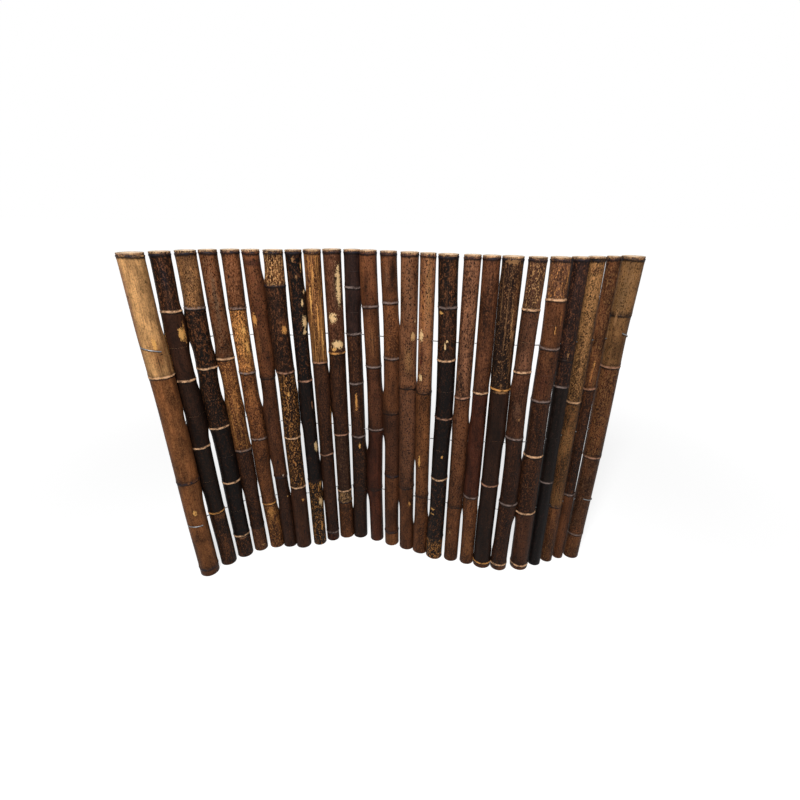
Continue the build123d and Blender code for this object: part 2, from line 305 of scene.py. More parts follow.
            ("brown", "cocoa", 0.4, 0.3), ("umber", "cocoa", 0.3, 0.2)),
        bends=(0.5, 2, -1, 0, 1, 1),
        marks=((60, 26, 3, 40, "ochre"), (20, 110, 3, 16, "ochre"), (48, 90, 3, 30, "amber")),
        smearsAndSheen=((0, 150, 20, 60, "umber"), (0, 200, 20, 60, "russet")),
    ),
    dict(
        nodes=(162, 210, 405), rings=("faint", "grey", "grey"),
        cells=(("plum", "umber", 0.3, 0.2), ("plum", "umber", 0.3, 0.2), ("soot", "plum", 0.4, 0.2),
            ("ink", "plum", 0.4, 0.2)),
        bends=(1, 0, 0, 0, 0, 0),
        marks=((2, 97, 4, 4, "ink"), (18, 152, 3, 12, "sand")),
    ),
    dict(
        nodes=(243, 469), rings=("pale", "dark"),
        cells=(("olive", "tan", 0.4, 0.3), ("olive", "sienna", 0.4, 0.3), ("umber", "olive", 0.3, 0.3)),
        marks=((0, 4, 40, 3, "ink"),),
        smearsAndSheen=((20, 120, 12, 220, "tan"), (0, 20, 30, 14, "umber")),
    ),
    dict(
        nodes=(222, 448), rings=("rose", "grey"),
        cells=(("umber", "olive", 0.3, 0.4), ("cocoa", "umber", 0.4, 0.5), ("umber", "brown", 0.3, 0.3)),
        marks=((1, 196, 4, 34, "amber"), (10, 176, 2, 18, "ochre")),
        smearsAndSheen=((0, 180, 12, 60, "umber"),),
    ),
    dict(
        nodes=(92, 181, 363, 548), rings=("faint", "rose", "rose", "grey"),
        cells=(("olive", "ash", 0.3, 0.2), ("olive", "brown", 0.3, 0.3), ("umber", "olive", 0.4, 0.4),
            ("umber", "ash", 0.4, 0.3), ("umber", "olive", 0.3, 0.2)),
        bends=(1, -1, 1, 2, 1, 0),
        marks=((-18, 96, 4, 30, "sand"), (-50, 120, 3, 40, "tan")),
        smearsAndSheen=((-10, 60, 26, 120, "olive"), (10, 250, 24, 120, "umber")),
    ),
)
poleForm = {
    "segments": 56,         # corners round a pole
    "rowStep": 2.8,         # mm between the rows of corners
    "bendHeights": (590, 490, 370, 250, 130, 40),   # mm up the pole, where its bends are given
    "bow": 0.5,             # mm that a pole may also bow by chance
    "touchGap": 0.05,       # mm left open where poles meet
    "swellEase": 12,        # how softly such a swelling starts and ends
    "bendRounds": 40,       # rounds that smooth the bends
    "gridStep": 5,          # mm between the heights at which bends and swellings are kept
    "groove": 0.5,          # mm, depth of the flat groove above some nodes
    "grooveChance": 0.6,
    "ringSizes": (0.8, 1.15),       # smallest and largest share of the ringSwell
    "oval": 0.006,          # share of the radius by which a pole is out of round
    "lobes": 0.003,         # the same for a faint three-sided shape
    "readAbove": 2.5,       # mm above a ring, and below the next one, where the radius is read
    "readBelow": 6,
    "readReach": 0.6,       # mm up and down, and into the skin, that such a reading takes in
    "readDepth": 0.3,
    "ringWobble": 0.7,      # mm that a node ring rises and falls round the pole
    "edge": 0.4,            # mm, worn edge of the sawn ends
}
# How far a node ring stands out in mm, from below the ring to above it
ringOffsets = (-8.0, -5.0, -3.0, -1.5, -0.6, 0.0, 0.5, 1.0, 1.6, 2.4, 3.4, 5.0, 7.0, 9.5)
ringSwell = (0.0, 0.12, 0.28, 0.5, 0.8, 0.9, 0.75, 0.25, 0.1, 0.28, 0.42, 0.28, 0.1, 0.0)


def flatToward(point):
    # level unit vectors from a point towards the camera and to the camera's right
    toward = np.array(camera["place"][:2]) - point
    toward /= np.linalg.norm(toward)
    return toward, np.array((-toward[1], toward[0]))


class Pole:
    # Reads a pole's place and thickness off its CAD node; lengths in mm from here on
    def __init__(self, index, looks):
        self.name = f"pole_{index + 1:02d}"
        self.looks = looks
        self.height = panel["height"]
        mesh = frame["nodes"][self.name].data
        points = np.empty(len(mesh.vertices) * 3)
        mesh.vertices.foreach_get("co", points)
        world = np.array(frame["nodes"][self.name].matrix_world)
        points = (points.reshape(-1, 3) @ world[:3, :3].T + world[:3, 3]) / mm
        foot = points[points[:, 2] < 0.05]
        top = points[points[:, 2] > self.height - 0.05]
        self.foot = (foot[:, :2].min(0) + foot[:, :2].max(0)) / 2
        self.top = (top[:, :2].min(0) + top[:, :2].max(0)) / 2
        self.toward, self.right = flatToward((self.foot + self.top) / 2 * mm)
        self.rings = sorted(self.height - drop for drop in (*looks["nodes"], panel["topNode"]))
        axis = self.foot + np.outer(points[:, 2] / self.height, self.top - self.foot)
        spread = np.hypot(*(points[:, :2] - axis).T)
        ends = [0, *self.rings, self.height]
        self.radii = []
        for low, high in zip(ends, ends[1:]):
            start = low + poleForm["readAbove"] if low else 0
            stop = high - poleForm["readBelow"] if high < self.height else high
            away = np.minimum(abs(points[:, 2] - start), abs(points[:, 2] - stop))
            near = away < poleForm["readReach"]
            outer = near & (spread > spread[near].max() - poleForm["readDepth"])
            self.radii.append(float(np.median(spread[outer])))
        self.ringPhase = rng.uniform(0, 2 * math.pi, (len(self.rings), 2))
        self.ringSize = rng.uniform(*poleForm["ringSizes"], len(self.rings))
        self.cellPhase = rng.uniform(0, 2 * math.pi, (len(self.radii), 2))
        grooved = rng.uniform(0, 1, len(self.radii)) < poleForm["grooveChance"]
        self.grooves = np.where(grooved, poleForm["groove"], 0)
        self.bowing = rng.uniform(-poleForm["bow"], poleForm["bow"], 2)
        self.grid = np.arange(0, self.height + poleForm["gridStep"], poleForm["gridStep"])
        given = looks.get("bends", (0,) * len(poleForm["bendHeights"]))
        self.bend = np.interp(self.grid, poleForm["bendHeights"][::-1], given[::-1])
        for _ in range(poleForm["bendRounds"]):
            self.bend[1:-1] = (self.bend[:-2] + 2 * self.bend[1:-1] + self.bend[2:]) / 4
        self.offset = rng.uniform(0, 50)
        self.swells = []        # direction round the pole, and mm of swelling at the heights of the grid

    def radiusAt(self, z):
        # plain radius of the stretch between two rings that a height lies in
        return np.array(self.radii)[np.searchsorted(self.rings, z)]

    def axisAt(self, z):
        # the pole's bent middle line, in mm from above
        share = z / self.height
        bow = np.sin(math.pi * share)
        sideways = np.outer(np.interp(z, self.grid, self.bend), self.right)
        return self.foot + np.outer(share, self.top - self.foot) + np.outer(bow, self.bowing) + sideways

    def ringHeight(self, number, angle):
        phases = self.ringPhase[number]
        wave = 0.6 * np.sin(angle + phases[0]) + 0.4 * np.sin(2 * angle + phases[1])
        return self.rings[number] + poleForm["ringWobble"] * wave

    def ringDistance(self, z, angle):
        # signed height above the nearest ring, and which ring it is
        steps = np.stack([z - self.ringHeight(number, angle) for number in range(len(self.rings))])
        nearest = np.abs(steps).argmin(0)
        return np.take_along_axis(steps, nearest[None], 0)[0], nearest

    def outside(self, z, angle):
        radius = np.full(z.shape, self.radii[0])
        for number, ring in enumerate(self.rings):
            blend = np.clip((z - ring + 2) / 4, 0, 1)
            change = self.radii[number + 1] - self.radii[number]
            radius = radius + change * blend * blend * (3 - 2 * blend)
            step = z - self.ringHeight(number, angle)
            radius = radius + np.interp(step, ringOffsets, ringSwell) * self.ringSize[number]
        cell = np.searchsorted(self.rings, z)
        phases = self.cellPhase[cell]
        oval = poleForm["oval"] * np.sin(2 * angle + phases[..., 0])
        lobes = poleForm["lobes"] * np.sin(3 * angle + phases[..., 1])
        radius = radius * (1 + oval + lobes)
        ends = np.array([0, *self.rings, self.height])
        along = (z - ends[cell]) / (ends[cell + 1] - ends[cell])
        turn = np.angle(np.exp(1j * (angle - phases[..., 1] - math.pi * cell)))
        fade = np.clip(along * 12, 0, 1) * np.clip((1 - along) * 1.6, 0, 1)
        for side, drop, width, length, size in self.looks.get("stubs", ()):
            across = (angle - math.radians(side)) * self.radii[0] / (width / 2)
            radius = radius + size * np.exp(-across ** 2 - ((self.height - drop - z) / (length / 2)) ** 2)
        for side, amount in self.swells:
            radius = radius + np.interp(z, self.grid, amount) * np.clip(np.cos(angle - side), 0, 1) ** 2
        return radius - self.grooves[cell] * fade * np.exp(-(turn / 0.4) ** 2)

    def place(self, z, angle, radius):
        spin = np.cos(angle)[:, None] * self.toward + np.sin(angle)[:, None] * self.right
        flat = self.axisAt(z) + radius[:, None] * spin
        return np.column_stack((flat, z)) * mm


def swellToTouch(pole, neighbour):
    # both poles grow sideways until they meet, over the stretches given in the first pole's looks
    grid = pole.grid
    between = neighbour.axisAt(grid) - pole.axisAt(grid)
    clear = np.hypot(*between.T) - pole.radiusAt(grid) - neighbour.radiusAt(grid)
    inside = np.zeros(len(grid))
    for low, high in pole.looks.get("touch", ()):
        inside[(grid >= low) & (grid <= high)] = 1
    for _ in range(poleForm["swellEase"]):
        inside[1:-1] = np.maximum(inside[1:-1], (inside[:-2] + 2 * inside[1:-1] + inside[2:]) / 4)
    amount = np.clip(clear / 2 - poleForm["touchGap"], 0, None) * inside
    direction = between.mean(0)
    for each, sign in ((pole, 1), (neighbour, -1)):
        side = math.atan2(sign * direction @ each.right, sign * direction @ each.toward)
        each.swells.append((side, amount))


def poleRows(pole):
    # heights of the rows of corners up the skin: even ones, and fine ones at each node ring
    rows = list(np.arange(poleForm["edge"], pole.height - poleForm["edge"] / 2, poleForm["rowStep"]))
    rows = [row for row in rows if all(not -8.5 < row - ring < 10.5 for ring in pole.rings)]
    fine = (-8, -6, -4.5, -3.2, -2.2, -1.4, -0.8, -0.4, 0, 0.4, 0.8, 1.2, 1.8, 2.5, 3.4, 4.6, 6, 8, 10)
    rows += [ring + step for ring in pole.rings for step in fine]
    low, high = poleForm["edge"], pole.height - poleForm["edge"]
    return sorted({low, high, *(row for row in rows if low + 0.3 < row < high - 0.3)})


def newPiece(name, corners, faces):
    # an object from corners in metres and faces
    mesh = bpy.data.meshes.new(name)
    mesh.from_pydata(corners, [], faces)
    mesh.update()
    piece = bpy.data.objects.new(name, mesh)
    bpy.context.collection.objects.link(piece)
    return piece


def shadeSmooth(mesh, degrees):
    # smooth shading, with the edges sharper than so many degrees left sharp
    mesh.polygons.foreach_set("use_smooth", [True] * len(mesh.polygons))
    mesh.set_sharp_from_angle(angle=math.radians(degrees))


def makePole(pole):
    # one closed lathed skin: up the foot bore, over the sawn foot, up the outside, into the top cup
    count = poleForm["segments"]
    angle = np.linspace(0, 2 * math.pi, count, endpoint=False)
    half = panel["diaphragm"] / 2
    footBore = pole.radii[0] - panel["wall"]
    topBore = pole.radii[-1] - panel["wall"]
    edge = poleForm["edge"]
    ceiling = pole.rings[0] - half
    cupFloor = pole.height - panel["topNode"] + half
    flat = np.full(count, 1.0)

    def rough(size):
        return rng.uniform(0, size, count)

    loops = [(flat * ceiling, flat * footBore * share) for share in (0.3, 0.6, 0.85)]
    loops += [(flat * (ceiling - 1.2), flat * footBore)]
    loops += [(flat * z, flat * footBore) for z in np.linspace(ceiling * 0.8, edge, 5)]
    loops += [(flat * 0, flat * (footBore + edge)), (flat * 0, pole.outside(flat * 0, angle) - edge)]
    for z in poleRows(pole):
        loops.append((flat * z, pole.outside(flat * z, angle)))
    # the sawn top is a little uneven, never above the cut
    loops.append((pole.height - rough(0.12), pole.outside(flat * pole.height, angle) - edge - rough(0.1)))
    loops.append((pole.height - rough(0.15), flat * (topBore + edge) + rough(0.15)))
    cupRows = (pole.height - edge - 0.2, (pole.height + cupFloor) / 2, cupFloor + 1)
    loops += [(flat * z, flat * topBore) for z in cupRows]
    dish = ((0.9, 0.25), (0.6, -0.2), (0.3, -0.4))      # the cup's floor: share of its width, mm of rise
    loops += [(flat * (cupFloor + lift), flat * topBore * share) for share, lift in dish]
    points = [pole.place(z, angle, radius) for z, radius in loops]
    zero = np.zeros(1)
    centres = [pole.place(np.array([z]), zero, zero) for z in (ceiling, cupFloor - 0.5)]
    vertices = np.concatenate(points + centres)
    total = len(loops) * count
    faces = []
    for row in range(len(loops) - 1):
        start = row * count
        for step in range(count):
            following = (step + 1) % count
            faces.append((start + step, start + following, start + count + following, start + count + step))
    for step in range(count):
        following = (step + 1) % count
        faces.append((following, step, total))
        faces.append((total - count + step, total - count + following, total + 1))
    return newPiece("bamboo_" + pole.name, vertices.tolist(), faces)


# The wires, with the heights of their holes in mm at the left pole, the dip and the right pole
wires = {
    "width": 2.0,           # mm
    "hole": 3.2,            # mm, drilled through the poles
    "dipPole": 12,
    "heights": {"wire_upper": (474, 464, 478), "wire_middle": (334, 268, 306), "wire_lower": (127, 134, 146)},
    # degrees round the end pole and mm up, at the left and at the right
    "folds": {"wire_upper": ((102, -9), (97, 12)), "wire_lower": ((97, -2), (118, 9))},
    "foldSteps": 14,
    "lift": 1.3,            # mm from the pole's skin to the middle of a folded wire end
    "waver": 0.1,           # mm that a folded end wavers in and out
    "waverRun": 9,          # radians of that wave along the fold
    "blindShare": 0.5,      # share of the end pole's radius that a blind end goes in past the axis
    "corners": 12,          # corners round a wire
    "drillCorners": 14,
    "drillMiss": 6,         # mm from the pole's axis beyond which a wire misses the pole
    "drillPast": 6,         # mm that the drill goes on past the skin
    "drillBlind": 9,        # mm that it goes on past the axis where the wire ends in the pole
    "drillAim": 4,          # points of the wire before and after the axis that aim the drill
    "endPoints": 12,        # points from its end within which a wire counts as ending there
}


def holeHeight(name, index, last):
    left, dip, right = wires["heights"][name]
    turning = wires["dipPole"] - 1
    if index <= turning:
        return left + (dip - left) * index / turning
    return dip + (right - dip) * (index - turning) / (last - turning)


def axisPoint(pole, z):
    return np.array((*pole.axisAt(np.array([float(z)]))[0], z))


def wireRoute(name, poles):
    # points of a wire's middle line in mm: through each gap's middle, its ends folded round the end poles
    # where a fold is given, else ending inside them
    last = len(poles) - 1
    axes = [axisPoint(pole, holeHeight(name, index, last)) for index, pole in enumerate(poles)]
    points = []
    for index in range(last):
        near = poles[index].radiusAt(axes[index][2])
        far = poles[index + 1].radiusAt(axes[index + 1][2])
        across = axes[index + 1] - axes[index]
        span = np.linalg.norm(across)
        points.append(axes[index] + across * (near + (span - near - far) / 2) / span)
    ends = []
    for index, inner in ((0, points[0]), (last, points[-1])):
        axis = axes[index]
        outward = (axis - inner)[:2]
        outward /= np.linalg.norm(outward)
        radius = poles[index].radiusAt(axis[2])
        if name not in wires["folds"]:
            ends.append([np.array((*(axis[:2] + outward * radius * wires["blindShare"]), axis[2]))])
            continue
        turn, rise = wires["folds"][name][0 if index == 0 else 1]
        start = math.atan2(outward[1], outward[0])
        sense = 1 if index == 0 else -1
        run = [axis + np.array((*outward, 0)) * (radius - 1)]
        for share in np.linspace(0, 1, wires["foldSteps"]):
            swing = start + sense * math.radians(turn) * share
            lay = radius + wires["lift"] + wires["waver"] * math.sin(share * wires["waverRun"])
            x = axis[0] + lay * math.cos(swing)
            y = axis[1] + lay * math.sin(swing)
            run.append(np.array((x, y, axis[2] + rise * share)))
        ends.append(run)
    return ends[0][::-1] + points + ends[1]


def smoothed(points, spacing=2.0, rounds=6):
    # the route in short even steps, its corners rounded off
    points = np.array(points)
    steps = np.linalg.norm(np.diff(points, axis=0), axis=1)
    distance = np.concatenate(([0], np.cumsum(steps)))
    places = np.linspace(0, distance[-1], int(distance[-1] / spacing) + 1)
    fine = np.column_stack([np.interp(places, distance, points[:, axis]) for axis in range(3)])
    for _ in range(rounds):
        fine[1:-1] = (fine[:-2] + 2 * fine[1:-1] + fine[2:]) / 4
    return fine


def tubeData(line, radius, count):
    # corners and faces of a closed tube along a line of points
    ahead = np.gradient(line, axis=0)
    ahead /= np.linalg.norm(ahead, axis=1)[:, None]
    side = np.cross(ahead, (0, 0, 1.0))
    side /= np.linalg.norm(side, axis=1)[:, None]
    up = np.cross(side, ahead)
    spin = np.linspace(0, 2 * math.pi, count, endpoint=False)
    shape = [line + radius * (math.cos(turn) * side + math.sin(turn) * up) for turn in spin]
    corners = np.stack(shape, 1).reshape(-1, 3)
    faces = []
    for row in range(len(line) - 1):
        for step in range(count):
            following = (step + 1) % count
            start = row * count
            faces.append((start + step, start + count + step, start + count + following, start + following))
    faces.append(tuple(range(count)))
    faces.append(tuple(range(len(corners) - 1, len(corners) - 1 - count, -1)))
    return corners, faces


def makeWire(name, poles):
    line = smoothed(wireRoute(name, poles))
    corners, faces = tubeData(line, wires["width"] / 2, wires["corners"])
    piece = newPiece("steel_" + name, (corners * mm).tolist(), faces)
    shadeSmooth(piece.data, 50)
    return piece, line


def drillPole(piece, pole, lines):
    # cuts the wire holes: a short cylinder where each wire goes through the pole
    corners, faces = [], []
    for line in lines:
        axis = pole.axisAt(line[:, 2])
        gap = np.hypot(*(line[:, :2] - axis).T)
        centre = gap.argmin()
        if gap[centre] > wires["drillMiss"]:
            continue
        last = len(line) - 1
        aim = wires["drillAim"]
        ahead = line[min(centre + aim, last)] - line[max(centre - aim, 0)]
        ahead /= np.linalg.norm(ahead)
        reach = max(pole.radii) + wires["drillPast"]
        startsHere = centre < wires["endPoints"]
        endsHere = not startsHere and last - centre < wires["endPoints"]
        low = line[centre] - ahead * (wires["drillBlind"] if startsHere else reach)
        high = line[centre] + ahead * (wires["drillBlind"] if endsHere else reach)
        more, moreFaces = tubeData(np.linspace(low, high, 3), wires["hole"] / 2, wires["drillCorners"])
        faces += [tuple(number + len(corners) for number in face) for face in moreFaces]
        corners += list(more)
    drill = newPiece("drill", (np.array(corners) * mm).tolist(), faces)
    cut = piece.modifiers.new("holes", "BOOLEAN")
    cut.operation = "DIFFERENCE"
    cut.solver = "EXACT"
    cut.object = drill
    bpy.context.view_layer.update()
    drilled = bpy.data.meshes.new_from_object(piece.evaluated_get(bpy.context.evaluated_depsgraph_get()))
    piece.modifiers.remove(cut)
    spent = (piece.data, drill.data)
    piece.data = drilled
    bpy.data.objects.remove(drill)
    for mesh in spent:
        bpy.data.meshes.remove(mesh)
    piece.data.name = piece.name


def spotField(spots, pole, angle, drop):
    # for each corner the nearest spot's colour and its depth in it: 1 at the middle, 0 on the edge
    best = np.full(len(drop), -3.0)
    tone = np.zeros((len(drop), 3))
    for side, fall, width, length, name in spots:
        across = (angle - math.radians(side)) * pole.radii[0] / (width / 2)
        depth = 1 - np.hypot(across, (drop - fall) / (length / 2))
        tone[depth > best] = linear(*tones[name])
        best = np.maximum(best, depth)
    return best, tone


def paintPole(piece, pole):
    # stores on the corners what the skin material reads: colours, amounts and distances
    mesh = piece.data
    count = len(mesh.vertices)
    points = np.empty(count * 3)
    mesh.vertices.foreach_get("co", points)
    points = points.reshape(-1, 3) / mm
    z = points[:, 2]
    flat = points[:, :2] - pole.axisAt(z)
    angle = np.arctan2(flat @ pole.right, flat @ pole.toward)
    radius = np.hypot(*flat.T)
    depth = pole.outside(z, angle) - radius
    cut = np.clip(depth / 0.8, 0, 1)
    distance, nearest = pole.ringDistance(z, angle)
    cells = pole.looks["cells"]
    ringsAbove = np.sum([z < pole.ringHeight(number, angle) for number in range(len(pole.rings))], 0)
    cell = np.maximum(np.minimum(ringsAbove, len(cells)) - 1, 0)
    main = np.array([linear(*tones[each[0]]) for each in cells])[cell]
    fleck = np.array([linear(*tones[each[1]]) for each in cells])[cell]
    # the skin darker towards the foot and a little lighter at the top
    weather = np.interp(z / pole.height, *skin["weather"])[:, None]
    main, fleck = main * weather, fleck * weather
    amounts = np.array([each[2:] for each in cells])[cell]
    rim = np.clip(z - pole.rings[-1] - 1.2, 0, 1)[:, None]
    main = main * (1 - rim) + rim * linear(*tones["buff"])
    fleck = fleck * (1 - rim) + rim * linear(*tones["cream"])
    rings = [*pole.looks["rings"][::-1], "dark"]
    marks, markTone = spotField(pole.looks.get("marks", ()), pole, angle, pole.height - z)
    # soft patches: stains, and on the first pole a painted highlight, the sheen down its left side
    smearsAndSheen, smearAndSheenTone = spotField(pole.looks.get("smearsAndSheen", ()), pole, angle, pole.height - z)
    ringTone = np.array([linear(*tones[ringTones[ring]]) for ring in rings])[nearest]
    local = np.column_stack((radius * np.sin(angle), -radius * np.cos(angle), z + pole.offset * 100)) * mm

    def store(name, values, kind):
        layer = mesh.attributes.new(name, kind, "POINT")
        if kind == "FLOAT_COLOR":
            values = np.column_stack((values, np.ones(count)))
            layer.data.foreach_set("color", values.ravel())
        else:
            layer.data.foreach_set("vector", values.ravel())

    store("mainTone", main, "FLOAT_COLOR")
    store("fleckTone", fleck, "FLOAT_COLOR")
    store("ringTone", ringTone, "FLOAT_COLOR")
    store("local", local, "FLOAT_VECTOR")
    store("amounts", np.column_stack((amounts, cut)), "FLOAT_VECTOR")
    store("markTone", markTone, "FLOAT_COLOR")
    store("smearAndSheenTone", smearAndSheenTone, "FLOAT_COLOR")
    store("fields", np.column_stack((distance, marks, smearsAndSheen)), "FLOAT_VECTOR")
    shadeSmooth(mesh, 38)


class Nodes:
    # short calls that add and join the nodes of one material
    def __init__(self, name):
        self.material = bpy.data.materials.new(name)
        self.material.use_nodes = True
        self.tree = self.material.node_tree
        self.tree.nodes.clear()

    def add(self, kind, inputs=None, **settings):
        node = self.tree.nodes.new("ShaderNode" + kind)
        for key, value in settings.items():
            setattr(node, key, value)
        for key, value in (inputs or {}).items():
            socket = node.inputs[key]
            if isinstance(value, bpy.types.NodeSocket):
                self.tree.links.new(value, socket)
            else:
                socket.default_value = value
        return node

    def math(self, operation, first, second=0.0, third=0.0):
        node = self.add("Math", {0: first, 1: second, 2: third}, operation=operation)
        return node.outputs[0]

    def times(self, first, second):
        return self.math("MULTIPLY", first, second)

    def step(self, value, low, high, start=0.0, end=1.0):
        # a soft step from start to end while the value goes from low to high
        inputs = {"Value": value, "From Min": low, "From Max": high, "To Min": start, "To Max": end}
        return self.add("MapRange", inputs, interpolation_type="SMOOTHSTEP").outputs["Result"]

    def mix(self, share, first, second, blend="MIX"):
        node = self.add("Mix", data_type="RGBA", blend_type=blend)
        sockets = [socket for socket in node.inputs if socket.enabled]
        for socket, value in zip(sockets, (share, first, second)):
            if isinstance(value, bpy.types.NodeSocket):
                self.tree.links.new(value, socket)
            else:
                socket.default_value = value
        return [socket for socket in node.outputs if socket.enabled][0]

    def tinted(self, colour, tint):
        return self.mix(1.0, colour, tint, "MULTIPLY")

    def noise(self, vector, scale, detail=3.0, roughness=0.5, distortion=0.0):
        stretched = self.add("VectorMath", {0: vector, 1: scale}, operation="MULTIPLY").outputs[0]
        inputs = {"Vector": stretched, "Scale": 1.0, "Detail": detail, "Roughness": roughness}
        return self.add("TexNoise", {**inputs, "Distortion": distortion}).outputs["Fac"]

    def finished(self, shader):
        self.add("OutputMaterial", {"Surface": shader.outputs[0]})
        return self.material


skin = {
    "grainDepth": 0.12,     # mm, bump of the fibre lines
    "roughness": 0.52,
    "shine": 0.1,           # specular level
    "weather": ((0, 0.5, 1), (0.76, 0.76, 1.08)),   # share of the height, and how light the skin is there: darker towards the foot, a little lighter at the top
    "contrast": 1.22,       # gamma of the painted colours
    "gain": 1.6,            # brings their middle tones back up
    "saturation": 0.95,
    "fibre": (1500, 1500, 22),      # noise steps per metre round and along the pole
    "mottle": (290, 290, 150),
    "speck": (560, 560, 340),
    "streak": (480, 480, 8),
    "cloud": (45, 45, 16),
    "ringEdge": (110, 110, 50),
    "ringWear": (130, 130, 220),
    "sawnGrain": (900, 900, 60),
    # multiplied into the painted colours: in dark and light stretches, flecks, specks and fibre lines
    "cloudTints": ((0.5, 0.46, 0.44, 1), (1.7, 1.58, 1.46, 1)),
    "fleckTint": (1.25, 1.2, 1.1, 1),
    "speckTint": (1.7, 1.6, 1.45, 1),
    "fibreTint": (0.66, 0.64, 0.64, 1),
    "pepperTone": (0.009, 0.006, 0.004, 1),
    "shadeBelowRing": (0.010, 0.007, 0.007, 1),          # painted shade under a node ring's ridge, and a dark line over the ring
    "aboveRing": (0.012, 0.009, 0.009, 1),
    "sawnTones": ((0.40, 0.29, 0.19, 1), (0.80, 0.63, 0.46, 1)),
}


def skinMaterial(name):
    n = Nodes(name)
    local = n.add("Attribute", attribute_name="local").outputs["Vector"]
    fields = n.add("SeparateXYZ", {0: n.add("Attribute", attribute_name="fields").outputs["Vector"]})
    amounts = n.add("SeparateXYZ", {0: n.add("Attribute", attribute_name="amounts").outputs["Vector"]})
    mottling, streaking, cut = amounts.outputs
    colours = {}
    for key in ("main", "fleck", "ring", "mark", "smearAndSheen"):
        colours[key] = n.add("Attribute", attribute_name=key + "Tone").outputs["Color"]

    fibre = n.noise(local, skin["fibre"], 2.0)
    cloud = n.noise(local, skin["cloud"], 5.0, 0.65, 0.3)
    mottle = n.noise(local, skin["mottle"], 6.0, 0.75, 0.5)
    speck = n.noise(local, skin["speck"], 3.0, 0.6)
    streak = n.noise(local, skin["streak"], 4.0, 0.65)
    # slow changes of light and dark along the pole, then the mottling and the streaks
    darker, lighter = [n.tinted(colours["main"], tint) for tint in skin["cloudTints"]]
    colour = n.mix(n.step(cloud, 0.3, 0.7), darker, lighter)
    # soft patches of stain, and the painted highlight down the first pole's left side
    smearsAndSheen = n.math("ADD", fields.outputs[2], n.times(n.math("SUBTRACT", mottle, 0.5), 2.4))
    colour = n.mix(n.times(n.step(smearsAndSheen, -0.2, 0.9), 0.8), colour, colours["smearAndSheen"])
    limit = n.math("SUBTRACT", 0.68, n.times(mottling, 0.3))
    flecks = n.step(n.math("SUBTRACT", mottle, limit), -0.04, 0.06)
    colour = n.mix(n.times(flecks, 0.6), colour, n.tinted(colours["fleck"], skin["fleckTint"]))
    pepper = n.math("ADD", n.times(mottle, 0.4), n.times(speck, 0.6))
    peppering = n.math("MINIMUM", n.math("ADD", n.times(mottling, 2.0), 0.1), 0.9)
    colour = n.mix(n.times(n.step(pepper, 0.5, 0.41), peppering), colour, skin["pepperTone"])
    speckling = n.math("MINIMUM", n.math("ADD", n.times(mottling, 1.3), 0.12), 0.8)
    specks = n.times(n.step(pepper, 0.52, 0.6), speckling)
    colour = n.mix(specks, colour, n.tinted(colours["fleck"], skin["speckTint"]))
    limit = n.math("SUBTRACT", 0.76, n.times(streaking, 0.34))
    streaks = n.step(n.math("SUBTRACT", streak, limit), -0.03, 0.05)
    colour = n.mix(n.times(streaks, 0.65), colour, colours["fleck"])
    colour = n.mix(n.step(fibre, 0.3, 0.72), n.tinted(colour, skin["fibreTint"]), colour)
    # node ring: painted shade in a dark band under its ridge, and a worn, lighter line of uneven width on it
    wander = n.times(n.math("SUBTRACT", n.noise(local, skin["ringEdge"], 5.0, 0.7), 0.5), 5.0)
    ringDistance = n.math("ADD", fields.outputs[0], wander)
    # painted shade: a dark band just under the ring's ridge
    shadeBelow = n.times(n.step(ringDistance, -5.0, -1.8), n.step(ringDistance, -0.2, -1.2))
    colour = n.mix(n.times(shadeBelow, 0.85), colour, skin["shadeBelowRing"])
    above = n.times(n.step(ringDistance, 2.0, 3.0), n.step(ringDistance, 9.0, 3.5))
    colour = n.mix(n.times(above, 0.35), colour, skin["aboveRing"])
    line = n.times(n.step(ringDistance, -1.6, -0.6), n.step(ringDistance, 3.8, 1.4))
    worn = n.step(n.noise(local, skin["ringWear"], 5.0, 0.75), 0.38, 0.58, 0.15, 1.0)
    colour = n.mix(n.times(line, worn), colour, colours["ring"])
    # spots, patches and scars
    ragged = n.times(n.math("SUBTRACT", pepper, 0.5), 4.0)
    spots = n.step(n.math("ADD", fields.outputs[1], ragged), 0.0, 0.35)
    colour = n.mix(n.times(spots, 0.85), colour, colours["mark"])
    deeper = n.add("Gamma", {"Color": colour, "Gamma": skin["contrast"]}).outputs[0]
    grading = {"Color": deeper, "Saturation": skin["saturation"], "Value": skin["gain"]}
    colour = n.add("HueSaturation", grading).outputs[0]
    # sawn wood at the ends and in the holes
    sawn = n.mix(n.noise(local, skin["sawnGrain"], 2.0), *skin["sawnTones"])
    colour = n.mix(n.step(cut, 0.2, 0.7), colour, sawn)

    height = n.math("ADD", fibre, n.times(flecks, 0.5))
    bump = n.add("Bump", {"Height": height, "Strength": 0.5, "Distance": skin["grainDepth"] * mm})
    rough = n.step(mottle, 0.2, 0.8, skin["roughness"] - 0.08, skin["roughness"] + 0.15)
    shader = n.add("BsdfPrincipled", {"Base Color": colour, "Roughness": rough, "Normal": bump.outputs[0],
                                      "Specular IOR Level": skin["shine"]})
    return n.finished(shader)


steel = {
    "colours": ((0.2, 0.19, 0.18, 1), (0.42, 0.42, 0.43, 1)),      # dull and bright zinc
    "roughness": 0.42,
    "metallic": 0.85,
    "spangle": (700, 700, 700),     # noise steps per metre
    "bump": 0.0002,         # m
}


